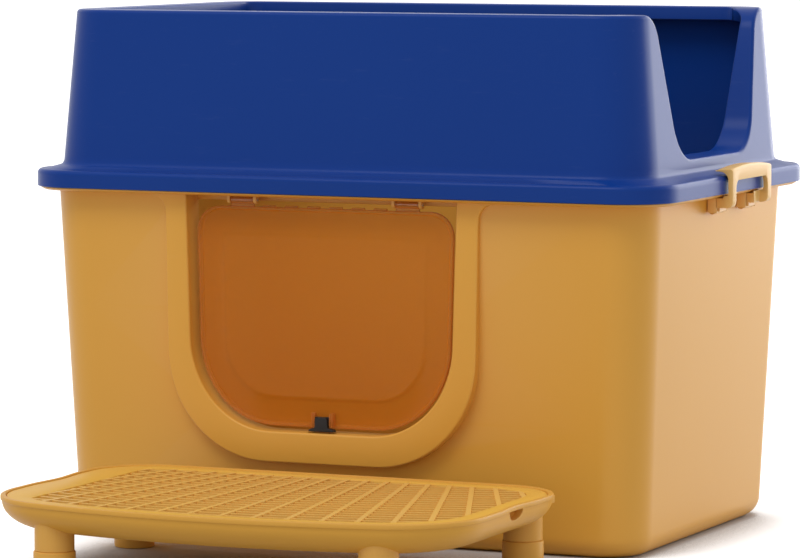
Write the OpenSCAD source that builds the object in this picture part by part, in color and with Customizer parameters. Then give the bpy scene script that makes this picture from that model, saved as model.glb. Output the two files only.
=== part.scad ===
// Large litter box: a deep tub with a clear flap door, a lift-off hood held by two
// snap latches, and a separate step with a catch tray under a lift-out grid.
// X runs along the front, Y to the back and Z up, from the middle of the tub's underside.

/* [Flange and hood] */
// Length of the hood's flange, the longest size of the box
flange_len = 600; // [520:5:700]
// Width of the hood's flange, front to back
flange_w = 400; // [360:5:480]
// Corner radius of the flange
flange_r = 48; // [44:1:56]
// Height of the flange's skirt and plate together
flange_h = 15.5; // [12:0.5:20]
// Height of the hood's wall above the flange
hood_h = 140; // [125:5:200]
// How far the flange stands out from the hood's end walls
ledge_end = 21; // [18:0.5:26]
// How far the flange stands out from the hood's front and back walls
ledge_side = 11.5; // [10:0.5:14]
// Rise of the flange's top from its outer edge to the hood's wall
ledge_rise = 3.5; // [0:0.5:4]
// How far the hood's walls lean in from flange to top
hood_draft = 11; // [6:0.5:16]
// Corner radius of the hood
hood_r = 42; // [36:1:48]
// Wall thickness of the hood
hood_t = 2.5; // [2:0.1:3.5]
// Width of the turned-in rim at the top of the hood and round the scoop cut
rim_return = 26; // [16:0.5:30]
// Depth of the skirt that hangs from the turned-in rim
rim_skirt = 12; // [8:0.5:16]

/* [Scoop cut] */
// Height of the scoop cut's floor above the flange
cut_floor = 15.5; // [12:0.5:30]
// Half width of the scoop cut at its floor, before the corners are rounded
cut_half = 88; // [70:1:96]
// Lean of the scoop cut's sides from upright, in degrees
cut_lean = 16.4; // [10:0.2:18]
// Radius of the scoop cut's lower corners
cut_r = 42; // [30:1:48]
// Radius of the shoulders where the scoop cut meets the rim
shoulder_r = 26; // [18:1:30]
// Depth of the scoop cut's turned-in edge at the top
cut_return = 10; // [8:0.5:20]
// Depth of the scoop cut's turned-in edge at the flange
cut_return_low = 31; // [20:0.5:34]

/* [Tub] */
// Height of the tub from underside to rim
tub_h = 302.5; // [280:0.5:340]
// Inset of the tub's wall from the flange's edge
tub_inset = 17; // [16:0.5:19]
// How far the tub's walls lean in from rim to underside
tub_draft = 12; // [8:0.5:16]
// Corner radius of the tub
tub_r = 38; // [34:1:42]
// Wall thickness of the tub
tub_t = 2.6; // [2.2:0.1:3.4]
// Radius of the edge round the underside
base_r = 18; // [12:1:28]
// Thickness of the rim that carries the hood
rim_t = 2.8; // [2.4:0.1:3.4]
// Inset of the rim's edge from the flange's edge
rim_inset = 3; // [2.8:0.1:4]
// Height of the bead that stands up inside the flange
bead_h = 9; // [6:0.5:11]

/* [Doorway] */
// Place of the doorway's centre line along X
door_x = -15; // [-30:1:30]
// Clear width of the doorway
door_w = 254; // [220:2:280]
// Height of the sill above the underside
sill_z = 96.5; // [90:0.5:110]
// Width of the surround's posts
post_w = 21; // [16:0.5:24]
// Height of the surround's lower bar
bar_h = 26.5; // [22:0.5:30]
// Radius of the doorway's lower corners
door_r = 78; // [50:1:80]
// Radius of the surround's outer lower corners
outer_r = 95; // [70:1:100]
// Inset of the surround's face from the flange's edge
face_inset = 14; // [12.5:0.5:14]
// Depth of the surround from its face to its back edge
tunnel_d = 24.5; // [23.5:0.5:28]
// Radius of the flare where the posts meet the rim
flare_r = 16; // [10:1:20]

/* [Flap] */
// Gap between flap and doorway at each side
flap_gap = 5.5; // [4:0.5:8]
// Gap between flap and sill
flap_lift = 4; // [3.5:0.1:6]
// Thickness of the flap
flap_t = 2.8; // [2.4:0.1:3.4]
// Depth of the bead round the flap's edge
flap_bead = 4.6; // [4:0.1:5.4]
// Distance of the flap's mid plane behind the surround's face
flap_back = 12; // [11.5:0.1:13]
// Distance of each flap hinge from the doorway's side
hinge_inset = 49; // [36:1:66]
// Length of each flap knuckle
knuckle_len = 21.5; // [16:0.5:26]
// Radius of the hinge pins
pin_r = 1.5; // [1.2:0.1:1.8]
// Radius of the knuckles and lugs round the pins
knuckle_r = 3.6; // [3.4:0.1:3.8]
// Number of tabs along the flap's top edge
tab_count = 6; // [4:1:6]
// Length of each tab
tab_len = 12; // [8:0.5:14]

/* [Lock] */
// Width of the lock's knob
knob_w = 12.4; // [10:0.2:15]
// Height of the lock's knob
knob_h = 12.5; // [11:0.5:15]
// Width of the lock's foot
foot_w = 24; // [20:0.5:28]

/* [Latches] */
// Length of each latch along Y
latch_len = 100; // [80:2:120]
// Place of the latches' middle along Y
latch_y = 14; // [-20:1:20]
// Thickness of the latches' outer plate
latch_t = 4; // [3:0.1:4.5]
// Thickness of the latches' top plate
hook_t = 2.6; // [2.2:0.1:3.2]
// Width of the two arms that carry each latch
arm_w = 24; // [21:0.5:30]
// Gap between the latch's outer plate and the flange's edge
latch_gap = 2.5; // [2:0.1:4]
// How far the latch's hook reaches over the flange
hook_reach = 10; // [8:0.5:12]
// Distance of each latch hinge from the latch's middle
latch_hinge_off = 37; // [28:1:39]
// Spacing of the two lugs at each latch hinge
lug_pitch = 20; // [16:0.5:22]

/* [Step] */
// Place of the step's centre line along X
step_x = 23; // [-30:1:40]
// Half width of the step
step_half = 213; // [195:1:240]
// Gap between the step's back edge and the surround's face
step_gap = 38.5; // [1:0.5:60]
// Depth of the step from back to front
step_d = 284; // [260:1:320]
// Height of the step's lip
step_h = 68; // [66:0.5:80]
// Depth of the catch tray below the lip
tray_d = 27.4; // [24:0.2:34]
// Distance of the front edge's centre behind the step's back edge
fan_back = 354; // [300:2:420]
// Distance of the ribs' meeting point behind the step's back edge
rib_back = 375; // [320:1:430]
// Distance of the ribs' meeting point left of the step's centre line
rib_side = 28.6; // [0:0.2:32]
// Radius of the step's front corners
front_corner_r = 78; // [60:1:90]
// Radius of the step's back corners
back_corner_r = 55; // [46:1:64]
// Height of the step's lip band
lip_h = 4; // [3:0.5:5]
// Wall thickness of the tray
tray_t = 2.5; // [2:0.1:3]
// Thickness of the grid
grid_t = 4.6; // [3.6:0.1:5]
// Width of the grid's plain border
grid_border = 15; // [12:0.5:20]
// Width of the grid's plain band along its left side
grid_band = 36; // [20:1:44]
// Angle between the grid's ribs, in degrees
rib_angle = 2.57; // [2.4:0.01:4]
// Width of the grid's ribs
rib_w = 4.6; // [3:0.1:6]
// Spacing of the grid's cross bars
bar_pitch = 13; // [12:0.5:20]
// Width of the grid's cross bars
bar_w = 4; // [3:0.1:5]
// Radius of the tray's legs
leg_r = 16.3; // [14:0.1:17.5]
// Height of the feet that push on to the legs
foot_h = 27; // [20:0.5:29]
// Distance of the front legs from the step's centre line
leg_front_x = 144.5; // [125:0.5:150]
// Distance of the back legs from the step's centre line
leg_back_x = 180.5; // [160:0.5:184]
// Distance of the front legs behind the step's front edge
leg_front_in = 41; // [38:0.5:60]
// Distance of the back legs in front of the step's back edge
leg_back_in = 32; // [28:0.5:50]

/* [Hidden] */

yellow = [0.80, 0.58, 0.27];
blue = [0.12, 0.24, 0.55];
clear = [0.90, 0.75, 0.55, 0.45];
black = [0.16, 0.14, 0.13];
steel = [0.70, 0.70, 0.72];

hull_fn = 32;
arc_steps = 8;
eps = 0.01;
through = 50;

// Clearances
seat_gap = 0.1;
slide_gap = 0.3;
hinge_gap = 0.5;
pin_gap = 0.05;

// Heights
flange_z = tub_h + seat_gap;
ledge_z = flange_z + flange_h;
top_z = ledge_z + hood_h;
rim_under = tub_h - rim_t;

// Sides of the tub's wall at the rim, at the outside
tub_len = flange_len - 2 * tub_inset;
tub_w = flange_w - 2 * tub_inset;

// Hood outlines
hood_len = flange_len - 2 * ledge_end;
hood_w = flange_w - 2 * ledge_side;

// Doorway
face_y = -flange_w / 2 + face_inset;
flap_y = face_y + flap_back;
hinge_z = rim_under - knuckle_r - hinge_gap;
hinge_off = door_w / 2 - hinge_inset;
door_top = rim_under;
header_y = flap_y + 10;
header_t = 2.5;
header_drop = 1.5;
surround_t = 2.5;

// Flap
flap_w = door_w - 2 * flap_gap;
flap_low = sill_z + flap_lift;
flap_top = hinge_z - knuckle_r - 2.2;
tab_h = 1.6;
tab_gap = 9;
flap_top_r = 20;
flap_low_r = door_r - flap_gap;
panel_margin = 25;
panel_rise = 1.2;
panel_low = 23;
lug_t = 2.6;

// Lock
lock_z = sill_z + 1.2;
lock_foot_h = 2.6;
lock_rear = flap_y - flap_bead / 2 - slide_gap;
lock_d = lock_rear - face_y - surround_t - hinge_gap;
knob_proud = 2;
rail_w = 2.6;
rail_h = 13;
rail_lip = 1.4;
groove = 1.2;
ear_d = lock_d - knob_proud - rail_lip - slide_gap;
slot_play = 0.6;

// Latches
latch_in = flange_len / 2 + latch_gap;
pivot_x = flange_len / 2 - tub_inset + knuckle_r + hinge_gap;
pivot_z = rim_under - 11.5;
arm_top = rim_under - 0.8;
arm_t = 8.5;
hook_under = ledge_z + 3.6;
slot_len = latch_len - 20;
slot_high = tub_h + 11;
slot_r = 7;

// Step
step_back = face_y - step_gap;
fan_y = step_back + fan_back;
front_r = fan_back + step_d;
tray_low = step_h - tray_d;
seat_depth = 5.5;
grid_play = 0.5;
lip_t = 4.3;
ledge_w = 3.2;
foot_wall = 1;
spigot_r = leg_r - 4.5;
spigot_d = 14;
leg_front_y = step_back - step_d + leg_front_in;
leg_back_y = step_back - leg_back_in;
skin = 0.8;
notch_half = 14;
notch_d = 8;
notch_y = step_back - 117;
rib_y = step_back + rib_back;
rib_r = rib_back + step_d;
rib_count = floor(atan((step_half + rib_side) / rib_back) / rib_angle);

// Points of an arc, centre c, radius r, from angle a to angle b
function arc(c, r, a, b, n = arc_steps) =
    [for (k = [0:n]) c + r * [cos(a + (b - a) * k / n), sin(a + (b - a) * k / n)]];

// Points of a rounded rectangle
function rounded(l, w, r) =
    concat(arc([l / 2 - r, w / 2 - r], r, 0, 90), arc([-l / 2 + r, w / 2 - r], r, 90, 180),
           arc([-l / 2 + r, -w / 2 + r], r, 180, 270), arc([l / 2 - r, -w / 2 + r], r, 270, 360));

// Points of an upright panel: half width a, low and high edge, corner radii below and above
function panel(a, low, high, rl, rh) =
    concat(arc([a - rl, low + rl], rl, 270, 360), arc([a - rh, high - rh], rh, 0, 90),
           arc([-a + rh, high - rh], rh, 90, 180), arc([-a + rl, low + rl], rl, 180, 270));

// Points of a U outline that is open at the top: half width a, low edge, corner radius
function u_shape(a, low, high, r) =
    concat([[a, high], [-a, high]], arc([-a + r, low + r], r, 180, 270),
           arc([a - r, low + r], r, 270, 360));

// Points of the scoop cut, seen along X, widened by d
function scoop(d) =
    let (t = tan(cut_lean), k = sqrt(1 + t * t), z0 = ledge_z + cut_floor - d,
         r = cut_r + d, rs = shoulder_r - d, a0 = cut_half + d * k - d * t,
         yc = a0 + t * r - r * k, zs = top_z - shoulder_r, ys = a0 + t * (zs - z0) + rs * k)
    concat([[ys, top_z + through], [-ys, top_z + through]],
           arc([-ys, zs], rs, 90, cut_lean), arc([-yc, z0 + r], r, 180 + cut_lean, 270),
           arc([yc, z0 + r], r, -90, -cut_lean), arc([ys, zs], rs, 180 - cut_lean, 90));

// Plan of the step, moved in by d: straight back and sides, front round the fan's centre
function step_plan(d) =
    let (a = step_half - d, r = front_corner_r - d / 2, rb = back_corner_r - d / 2,
         rf = front_r - d, b = step_back - d, xc = a - r,
         yf = fan_y - sqrt((rf - r) * (rf - r) - xc * xc), phi = atan2(fan_y - yf, xc))
    concat(arc([a - rb, b - rb], rb, 0, 90), arc([-a + rb, b - rb], rb, 90, 180),
           arc([-xc, yf], r, 180, 180 + phi), arc([0, fan_y], rf, 180 + phi, 360 - phi, 12),
           arc([xc, yf], r, 360 - phi, 360));

// One level of a rounded shell, for use inside hull()
module level(l, w, r, z) {
    for (sx = [-1, 1], sy = [-1, 1])
        translate([sx * (l / 2 - r), sy * (w / 2 - r), z])
            cylinder(h = eps, r = r, $fn = hull_fn);
}

// An outline drawn in X and Z, given thickness towards +Y from y
module upright(y, depth) {
    translate([0, y + depth, 0]) rotate([90, 0, 0]) linear_extrude(depth) children();
}

// An outline drawn in Y and Z, given thickness towards +X from x
module sideways(x, depth) {
    translate([x, 0, 0]) rotate([90, 0, 90]) linear_extrude(depth) children();
}

// A round bar along X or Y, centred on p
module bar_x(p, len, r) {
    translate(p) rotate([0, 90, 0]) cylinder(h = len, r = r, center = true, $fn = 48);
}
module bar_y(p, len, r) {
    translate(p) rotate([90, 0, 0]) cylinder(h = len, r = r, center = true, $fn = 48);
}

// ---- Tub ----

// The tub's body moved in by d, with its rounded lower edge
module tub_form(d, low, high) {
    lean = tub_draft * 2;
    hull() {
        level(tub_len - 2 * d, tub_w - 2 * d, tub_r - d, high);
        for (a = [0:22.5:90])
            level(tub_len - 2 * d - lean - 2 * base_r * (1 - cos(a)),
                  tub_w - 2 * d - lean - 2 * base_r * (1 - cos(a)),
                  tub_r - d - base_r * (1 - cos(a)) * 0.6, low + base_r * (1 - sin(a)));
    }
}

module flare(side) {
    upright(face_y, surround_t)
        difference() {
            translate([side > 0 ? 0 : -flare_r, -flare_r]) square(flare_r + eps);
            translate([side * flare_r, -flare_r]) circle(r = flare_r, $fn = 64);
        }
}

module surround() {
    outer = door_w / 2 + post_w;
    translate([door_x, 0, 0]) {
        difference() {
            upright(face_y, tunnel_d)
                polygon(u_shape(outer, sill_z - bar_h, door_top + eps, outer_r));
            upright(face_y - eps, tunnel_d + 2 * eps)
                polygon(u_shape(door_w / 2, sill_z, door_top + 1, door_r));
            upright(face_y + surround_t, tunnel_d)
                difference() {
                    polygon(u_shape(outer - surround_t, sill_z - bar_h + surround_t,
                                    door_top - surround_t, outer_r - surround_t));
                    polygon(u_shape(door_w / 2 + surround_t, sill_z - surround_t,
                                    door_top + 1, door_r + surround_t));
                }
        }
        for (side = [-1, 1])
            translate([side * outer, 0, door_top]) flare(side);
    }
}

module keeper_slot() {
    translate([door_x - foot_w / 2 - slot_play, lock_rear - lock_d - slot_play,
               sill_z - surround_t - 1])
        cube([foot_w + 2 * slot_play, lock_d + 2 * slot_play, surround_t + 2]);
}

module flap_lugs() {
    for (side = [-1, 1], end = [-1, 1]) {
        x = door_x + side * hinge_off + end * (knuckle_len / 2 + hinge_gap + lug_t / 2);
        difference() {
            union() {
                bar_x([x, flap_y, hinge_z], lug_t, knuckle_r);
                translate([x - lug_t / 2, flap_y - knuckle_r, hinge_z])
                    cube([lug_t, 2 * knuckle_r, rim_under - hinge_z + eps]);
            }
            bar_x([x, flap_y, hinge_z], lug_t + 1, pin_r + pin_gap);
        }
    }
}

module latch_lugs(side) {
    for (h = [-1, 1], end = [-1, 1]) {
        y = latch_y + h * latch_hinge_off + end * lug_pitch / 2;
        difference() {
            union() {
                bar_y([side * pivot_x, y, pivot_z], lug_t, knuckle_r);
                translate([side * pivot_x - knuckle_r, y - lug_t / 2, pivot_z])
                    cube([2 * knuckle_r, lug_t, rim_under - pivot_z + eps]);
            }
            bar_y([side * pivot_x, y, pivot_z], lug_t + 1, pin_r + pin_gap);
        }
    }
}

module tub() {
    color(yellow) difference() {
        union() {
            difference() {
                tub_form(0, 0, tub_h);
                tub_form(tub_t, tub_t, tub_h + 1);
                translate([door_x, 0, 0])
                    upright(-flange_w / 2, flange_w / 2 - 100)
                        polygon(u_shape(door_w / 2 + post_w - surround_t,
                                        sill_z - bar_h + surround_t, door_top,
                                        outer_r - surround_t));
            }
            surround();
            difference() {
                translate([0, 0, rim_under]) linear_extrude(rim_t)
                    polygon(rounded(flange_len - 2 * rim_inset, flange_w - 2 * rim_inset,
                                    flange_r - rim_inset));
                translate([0, 0, rim_under - 1]) linear_extrude(rim_t + 2)
                    polygon(rounded(tub_len - 2 * tub_t, tub_w - 2 * tub_t, tub_r - tub_t));
            }
            difference() {
                translate([0, 0, rim_under]) linear_extrude(rim_t + bead_h)
                    polygon(rounded(tub_len - 0.4, tub_w - 0.4, tub_r - 0.2));
                translate([0, 0, rim_under - 1]) linear_extrude(rim_t + bead_h + 2)
                    polygon(rounded(tub_len - 2 * tub_t, tub_w - 2 * tub_t, tub_r - tub_t));
            }
            translate([door_x - door_w / 2 - surround_t, face_y, rim_under])
                cube([door_w + 2 * surround_t, header_y + header_t - face_y, rim_t]);
            translate([door_x - door_w / 2 - surround_t, header_y, hinge_z - header_drop])
                cube([door_w + 2 * surround_t, header_t, tub_h - hinge_z + header_drop - eps]);
            flap_lugs();
            latch_lugs(-1);
            latch_lugs(1);
        }
        keeper_slot();
    }
}

// ---- Hood ----

module hood_form(d, low, high) {
    lean = hood_draft * 2;
    drop = 3;
    hull() {
        level(hood_len - 2 * d, hood_w - 2 * d, hood_r - d, low);
        level(hood_len - 2 * d - lean * 0.98, hood_w - 2 * d - lean * 0.98, hood_r - d - 3,
              high - drop);
        level(hood_len - 2 * d - lean - drop, hood_w - 2 * d - lean - drop, hood_r - d - 5, high);
    }
}

module hood_flange() {
    edge = 1.2;
    difference() {
        union() {
            translate([0, 0, flange_z]) linear_extrude(flange_h - 2 * edge)
                polygon(rounded(flange_len, flange_w, flange_r));
            translate([0, 0, flange_z]) linear_extrude(flange_h - edge)
                polygon(rounded(flange_len - edge, flange_w - edge, flange_r - edge / 2));
            hull() {
                level(flange_len - 3 * edge, flange_w - 3 * edge, flange_r - 1.5 * edge,
                      ledge_z - edge - eps);
                level(hood_len, hood_w, hood_r, ledge_z + ledge_rise);
            }
        }
        translate([0, 0, flange_z - 1]) linear_extrude(flange_h + 1 - hood_t)
            polygon(rounded(flange_len - 2 * hood_t, flange_w - 2 * hood_t, flange_r - hood_t));
        translate([0, 0, flange_z]) linear_extrude(2 * through)
            polygon(rounded(hood_len - 2 * hood_t, hood_w - 2 * hood_t, hood_r - hood_t));
    }
}

module hood() {
    in = hood_draft + 1.5;
    color(blue) {
        difference() {
            union() {
                difference() {
                    hood_form(0, ledge_z - hood_t, top_z);
                    hood_form(hood_t, ledge_z - hood_t - 1, top_z - hood_t);
                    translate([0, 0, top_z - through]) linear_extrude(2 * through)
                        polygon(rounded(hood_len - 2 * (in + rim_return - hood_t),
                                        hood_w - 2 * (in + rim_return - hood_t), hood_r - 18));
                }
                translate([0, 0, top_z - rim_skirt]) linear_extrude(rim_skirt)
                    difference() {
                        polygon(rounded(hood_len - 2 * (in + rim_return - hood_t),
                                        hood_w - 2 * (in + rim_return - hood_t), hood_r - 18));
                        polygon(rounded(hood_len - 2 * (in + rim_return),
                                        hood_w - 2 * (in + rim_return), hood_r - 20));
                    }
                hood_flange();
            }
            sideways(hood_len / 4, hood_len) polygon(scoop(0));
        }
        difference() {
            intersection() {
                hood_form(0, ledge_z, top_z);
                sideways(hood_len / 4, hood_len)
                    difference() {
                        polygon(scoop(hood_t));
                        polygon(scoop(0));
                    }
            }
            hull() {
                level(hood_len - 2 * cut_return_low, hood_w, hood_r, ledge_z - 1);
                level(hood_len - 2 * (in + cut_return), hood_w, hood_r, top_z + 1);
            }
        }
    }
}

// ---- Door flap, pins and lock ----

module flap_outline(d) {
    polygon(panel(flap_w / 2 - d, flap_low + d, flap_top - d, flap_low_r - d,
                  max(flap_top_r - d, 2)));
}

module door_flap() {
    run = tab_count * tab_len + (tab_count - 1) * tab_gap;
    color(clear) translate([door_x, 0, 0]) difference() {
        union() {
            upright(flap_y - flap_t / 2, flap_t) flap_outline(0);
            upright(flap_y - flap_bead / 2, flap_bead)
                difference() {
                    flap_outline(0);
                    flap_outline(3);
                }
            upright(flap_y - flap_t / 2 - panel_rise, flap_t)
                polygon(panel(flap_w / 2 - panel_margin, flap_low + panel_low,
                              flap_top - panel_margin, flap_low_r - panel_low, 16));
            for (k = [0:tab_count - 1])
                translate([-run / 2 + k * (tab_len + tab_gap), flap_y - flap_t / 2,
                           flap_top - eps])
                    cube([tab_len, flap_t, tab_h]);
            for (side = [-1, 1]) {
                bar_x([side * hinge_off, flap_y, hinge_z], knuckle_len, knuckle_r);
                translate([side * hinge_off - knuckle_len / 2, flap_y - flap_t / 2,
                           flap_top - eps])
                    cube([knuckle_len, flap_t, hinge_z - flap_top]);
                lock_rail(side);
            }
        }
        for (side = [-1, 1])
            bar_x([side * hinge_off, flap_y, hinge_z], knuckle_len + 1, pin_r + pin_gap);
    }
}

// One of the two rails that hold the lock's knob, with a lip over its edge
module lock_rail(side) {
    x = side * (knob_w / 2 + groove + slide_gap);
    y = lock_rear - lock_d + knob_proud;
    translate([side > 0 ? x : x - rail_w, y, flap_low + slide_gap])
        cube([rail_w, flap_y - flap_t / 2 - y + eps, rail_h]);
    translate([side > 0 ? x - groove : x - rail_w, y, flap_low + slide_gap])
        cube([rail_w + groove, rail_lip, rail_h]);
}

module lock_slider() {
    y = lock_rear - lock_d;
    color(black) translate([door_x, 0, lock_z]) {
        translate([-knob_w / 2, y, 0]) cube([knob_w, lock_d, knob_h]);
        translate([-knob_w / 2 - groove, lock_rear - ear_d, lock_foot_h - eps])
            cube([knob_w + 2 * groove, ear_d, knob_h - lock_foot_h]);
        upright(y, lock_d)
            polygon([[-foot_w / 2, 0], [foot_w / 2, 0], [foot_w / 2 - 3, lock_foot_h],
                     [-foot_w / 2 + 3, lock_foot_h]]);
    }
}

module flap_pin(side) {
    color(steel) bar_x([door_x + side * hinge_off, flap_y, hinge_z],
                       knuckle_len + 2 * (hinge_gap + lug_t) + 1, pin_r);
}

// ---- Latches ----

// Side view of a latch at the right end, as points in X and Z
module latch_profile() {
    polygon([[pivot_x + knuckle_r + hinge_gap, arm_top - arm_t], [latch_in + latch_t, arm_top - arm_t],
             [latch_in + latch_t, hook_under + hook_t],
             [flange_len / 2 - hook_reach, hook_under + hook_t],
             [flange_len / 2 - hook_reach, hook_under], [latch_in, hook_under],
             [latch_in, arm_top], [pivot_x + knuckle_r + hinge_gap, arm_top]]);
}

module latch_body() {
    arch = 2.5;
    tongue = lug_pitch - lug_t - 2 * hinge_gap;
    difference() {
        union() {
            translate([0, latch_y - latch_len / 2, 0]) upright(0, latch_len) latch_profile();
            translate([0, latch_y, 0]) sideways(latch_in, latch_t)
                polygon(concat([[-latch_len / 2, hook_under]], [[latch_len / 2, hook_under]],
                               [for (k = [10:-1:-10])
                                    [k * latch_len / 20,
                                     hook_under + hook_t + arch * (1 - k * k / 100)]]));
            for (h = [-1, 1]) {
                y = latch_y + h * latch_hinge_off;
                bar_y([pivot_x, y, pivot_z], tongue, knuckle_r);
                translate([pivot_x, y - tongue / 2, pivot_z - knuckle_r])
                    cube([knuckle_r + hinge_gap + 2, tongue, 2 * knuckle_r]);
            }
        }
        translate([0, latch_y, 0]) sideways(latch_in - 1, latch_t + 2)
            polygon(panel(slot_len / 2, arm_top - arm_t - 1, slot_high, 0.5, slot_r));
        translate([pivot_x, latch_y - latch_len / 2 + arm_w, arm_top - arm_t - 1])
            cube([latch_in + latch_t - pivot_x + 1, latch_len - 2 * arm_w, arm_t + 2]);
        for (h = [-1, 1])
            bar_y([pivot_x, latch_y + h * latch_hinge_off, pivot_z], tongue + 1,
                  pin_r + pin_gap);
    }
}

module latch(side) {
    color(yellow) if (side > 0) latch_body(); else mirror([1, 0, 0]) latch_body();
}

module latch_pin(side, h) {
    color(steel) bar_y([side * pivot_x, latch_y + h * latch_hinge_off, pivot_z],
                       lug_pitch + lug_t + 1, pin_r);
}

// ---- Step ----

module plan_slab(d, z, h) {
    translate([0, 0, z]) linear_extrude(h) polygon(step_plan(d));
}

// The tray's bowl, moved in by d and up by lift
module bowl(d, lift, high) {
    hull() {
        plan_slab(lip_t + d, high, eps);
        plan_slab(lip_t + 1 + d, tray_low + tray_d * 0.62 + lift, eps);
        plan_slab(lip_t + 6 + d, tray_low + tray_d * 0.32 + lift, eps);
        plan_slab(lip_t + 15 + d, tray_low + tray_d * 0.11 + lift, eps);
        plan_slab(lip_t + 32 + d, tray_low + lift, eps);
    }
}

module at_legs() {
    for (side = [-1, 1]) {
        translate([side * leg_front_x, leg_front_y, 0]) children();
        translate([side * leg_back_x, leg_back_y, 0]) children();
    }
}

module step_tray() {
    seat_z = step_h - seat_depth;
    color(yellow) translate([step_x, 0, 0]) {
        difference() {
            union() {
                plan_slab(0, step_h - lip_h, lip_h);
                bowl(skin - lip_t, 0, step_h - lip_h + eps);
                at_legs() translate([0, 0, foot_h]) cylinder(h = seat_z - foot_h - 4, r = leg_r, $fn = 64);
                for (side = [-1, 1])
                    translate([side * (step_half - 12) - 4, step_back - 38, step_h - lip_h - 6])
                        cube([8, 16, 6 + eps]);
            }
            plan_slab(lip_t, seat_z, seat_depth + 1);
            bowl(ledge_w, tray_t, seat_z + eps);
            translate([0, notch_y, step_h - lip_h])
                rotate([0, 90, 0]) intersection() {
                    scale([notch_d / notch_half, 1, 1])
                        cylinder(h = 2 * step_half + 10, r = notch_half, center = true, $fn = 48);
                    translate([0, -notch_half, -step_half - 10])
                        cube([notch_d, 2 * notch_half, 2 * step_half + 20]);
                }
        }
        at_legs() translate([0, 0, foot_h - spigot_d])
            cylinder(h = spigot_d + eps, r = spigot_r - pin_gap, $fn = 48);
    }
}

// Corner points of one opening between two ribs and two cross bars
function cell(k, j) =
    let (r0 = rib_r - (j + 1) * bar_pitch + bar_w / 2, r1 = r0 + bar_pitch - bar_w,
         h0 = asin(rib_w / 2 / r0), h1 = asin(rib_w / 2 / r1),
         a = (k - 0.5) * rib_angle, b = (k + 0.5) * rib_angle)
    [for (q = [[r0, a + h0], [r0, b - h0], [r1, b - h1], [r1, a + h1]])
        [q[0] * sin(q[1]) - rib_side, rib_y - q[0] * cos(q[1])]];

module step_grid() {
    rows = ceil(step_d / bar_pitch);
    inner = lip_t + grid_play + grid_border;
    color(yellow) translate([step_x, 0, step_h - seat_depth]) linear_extrude(grid_t)
        difference() {
            polygon(step_plan(lip_t + grid_play));
            intersection() {
                polygon(step_plan(inner));
                translate([-step_half + lip_t + grid_play + grid_band, step_back - step_d])
                    square([2 * step_half, step_d]);
                for (k = [-rib_count:rib_count], j = [0:rows]) polygon(cell(k, j));
            }
        }
}

module step_foot(x, y) {
    color(yellow) translate([step_x + x, y, 0]) difference() {
        cylinder(h = foot_h, r = leg_r + foot_wall, $fn = 64);
        translate([0, 0, foot_h - spigot_d - 0.5])
            cylinder(h = spigot_d + 1, r = spigot_r, $fn = 48);
    }
}

tub();
hood();
door_flap();
flap_pin(-1);  // flap_pin_left
flap_pin(1);  // flap_pin_right
lock_slider();
latch(-1);  // latch_left
latch(1);  // latch_right
latch_pin(-1, -1);  // latch_pin_left_front
latch_pin(-1, 1);  // latch_pin_left_back
latch_pin(1, -1);  // latch_pin_right_front
latch_pin(1, 1);  // latch_pin_right_back
step_tray();
step_grid();
step_foot(-leg_front_x, leg_front_y);  // step_foot_front_left
step_foot(leg_front_x, leg_front_y);  // step_foot_front_right
step_foot(-leg_back_x, leg_back_y);  // step_foot_back_left
step_foot(leg_back_x, leg_back_y);  // step_foot_back_right
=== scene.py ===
import math

import bmesh
import bpy
from mathutils import Matrix, Vector


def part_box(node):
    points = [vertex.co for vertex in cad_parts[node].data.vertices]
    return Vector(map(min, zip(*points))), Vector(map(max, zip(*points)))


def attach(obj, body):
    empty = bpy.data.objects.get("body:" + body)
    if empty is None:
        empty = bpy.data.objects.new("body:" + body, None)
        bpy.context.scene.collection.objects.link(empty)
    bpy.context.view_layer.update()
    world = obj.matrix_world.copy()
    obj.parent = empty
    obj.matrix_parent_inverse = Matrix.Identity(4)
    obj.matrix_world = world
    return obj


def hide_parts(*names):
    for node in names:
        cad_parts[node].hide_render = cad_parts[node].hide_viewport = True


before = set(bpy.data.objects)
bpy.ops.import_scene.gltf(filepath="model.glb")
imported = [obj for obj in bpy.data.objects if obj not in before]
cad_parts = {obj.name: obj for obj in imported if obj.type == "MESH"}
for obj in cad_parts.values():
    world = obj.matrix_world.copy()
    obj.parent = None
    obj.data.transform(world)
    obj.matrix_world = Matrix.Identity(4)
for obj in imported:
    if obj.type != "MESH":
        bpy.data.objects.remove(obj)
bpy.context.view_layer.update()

# A large litter box: yellow tub with a clear flap door, blue hood with a scoop cut, two snap
# latches, and a low step with a catch tray under a fanned grid. Sizes are in millimetres.
MM = 0.001


def edges(node):
    """Lowest and highest corner of a node of the frame, in millimetres."""
    low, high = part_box(node)
    return [v / MM for v in low], [v / MM for v in high]


# ---- Sizes ----

HOOD_LOW, HOOD_HIGH = edges("hood")
TUB_HIGH = edges("tub")[1]
FLAP_LOW, FLAP_HIGH = edges("door_flap")
LOCK_LOW, LOCK_HIGH = edges("lock_slider")
LATCH_LOW, LATCH_HIGH = edges("latch_right")
TRAY_LOW, TRAY_HIGH = edges("step_tray")
GRID_LOW, GRID_HIGH = edges("step_grid")

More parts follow.
